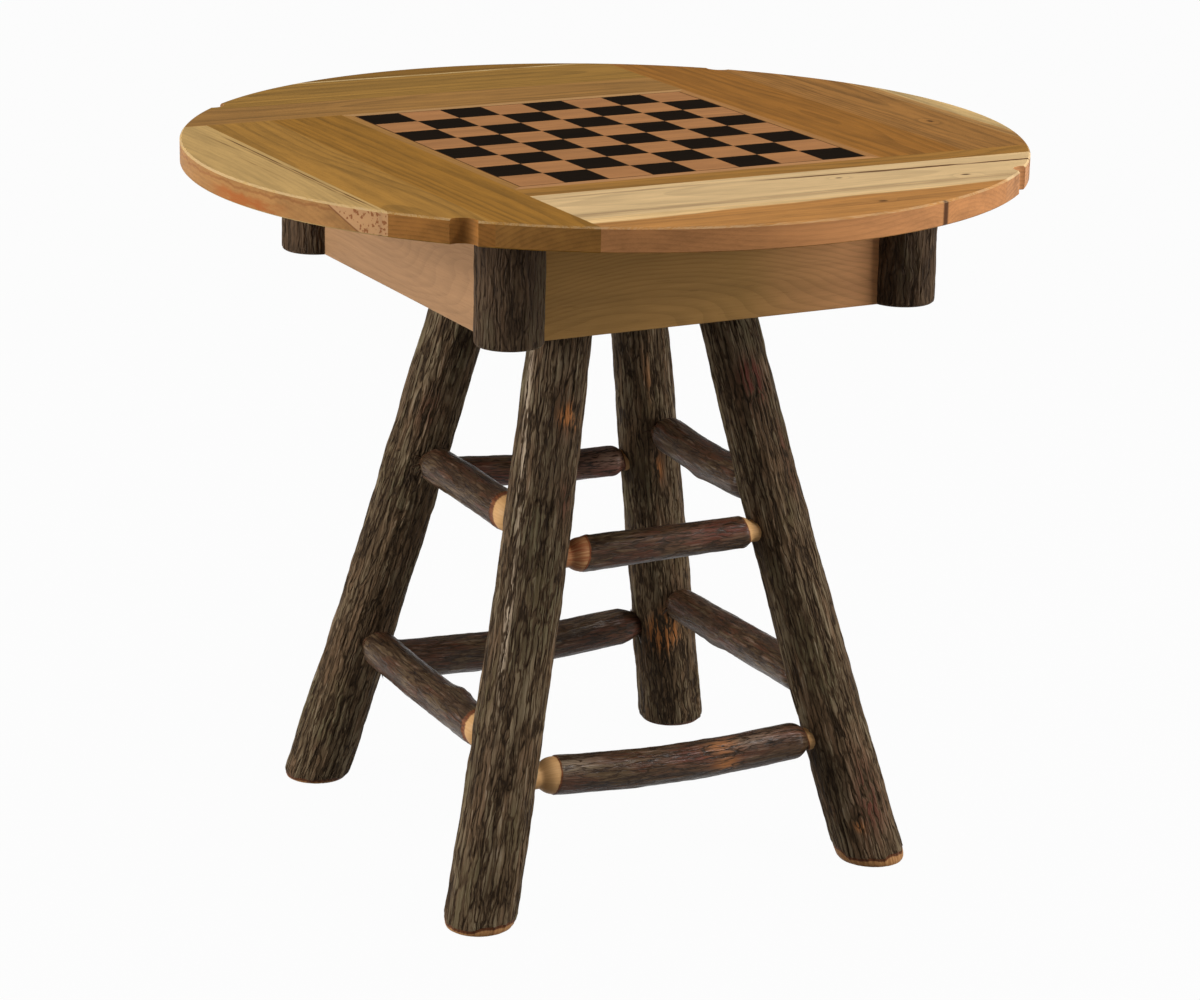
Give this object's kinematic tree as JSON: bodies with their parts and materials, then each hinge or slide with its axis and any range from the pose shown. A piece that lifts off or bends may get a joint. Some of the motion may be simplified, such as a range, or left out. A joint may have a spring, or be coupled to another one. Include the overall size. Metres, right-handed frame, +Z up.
{
  "type": "rustic game table",
  "caption": "Round log game table: pinwheel plank top with inlaid checkerboard, log-post apron box, splayed bark-on legs tied by round rungs.",
  "frame": {"origin": "on the floor, under the middle of the round top", "axes": "+Z up; +X to the right along the front apron; +Y to the back, away from the front apron"},
  "size_m": [0.9144, 0.9144, 0.7874],
  "materials": {
    "hickory_bark": "bark-on hickory log, clear satin lacquer, peeled where it is cut",
    "golden_board": "planed hickory, golden brown heart, clear satin lacquer",
    "sapwood_board": "planed hickory, pale sapwood with brown streaks, clear satin lacquer",
    "brown_board": "planed hickory, warm brown heart, clear satin lacquer",
    "apron_board": "planed hickory board, pinkish tan, clear satin lacquer",
    "light_veneer": "pinkish light veneer, clear satin lacquer",
    "dark_veneer": "black-dyed veneer, clear satin lacquer",
    "hidden_wood": "plain unfinished hardwood",
    "screw_steel": "zinc-plated steel"
  },
  "bodies": {
    "root": {"back_apron": "apron_board", "back_cleat": "hidden_wood", "back_left_leg": "hickory_bark", "back_left_post": "hickory_bark", "back_lower_rung": "hickory_bark", "back_panel_border": "light_veneer", "back_right_leg": "hickory_bark", "back_right_post": "hickory_bark", "back_top_inner_strip": "golden_board", "back_top_middle_strip": "golden_board", "back_top_outer_strip": "sapwood_board", "back_upper_rung": "hickory_bark", "cleat_side_screws": "screw_steel", "cleat_up_screws": "screw_steel", "dark_squares": "dark_veneer", "front_apron": "apron_board", "front_cleat": "hidden_wood", "front_left_leg": "hickory_bark", "front_left_post": "hickory_bark", "front_lower_rung": "hickory_bark", "front_panel_border": "light_veneer", "front_right_leg": "hickory_bark", "front_right_post": "hickory_bark", "front_top_inner_strip": "brown_board", "front_top_middle_strip": "sapwood_board", "front_top_outer_strip": "brown_board", "front_upper_rung": "hickory_bark", "left_apron": "apron_board", "left_cleat": "hidden_wood", "left_lower_rung": "hickory_bark", "left_panel_border": "light_veneer", "left_top_inner_strip": "golden_board", "left_top_middle_strip": "golden_board", "left_top_outer_strip": "sapwood_board", "left_upper_rung": "hickory_bark", "leg_plate": "hidden_wood", "leg_wedges": "hidden_wood", "light_squares": "light_veneer", "panel_core": "hidden_wood", "panel_stringing": "dark_veneer", "plate_screws": "screw_steel", "right_apron": "apron_board", "right_cleat": "hidden_wood", "right_lower_rung": "hickory_bark", "right_panel_border": "light_veneer", "right_top_inner_strip": "brown_board", "right_top_middle_strip": "brown_board", "right_top_outer_strip": "sapwood_board", "right_upper_rung": "hickory_bark", "top_seam_tongues": "hidden_wood"}
  },
  "joints": []
}
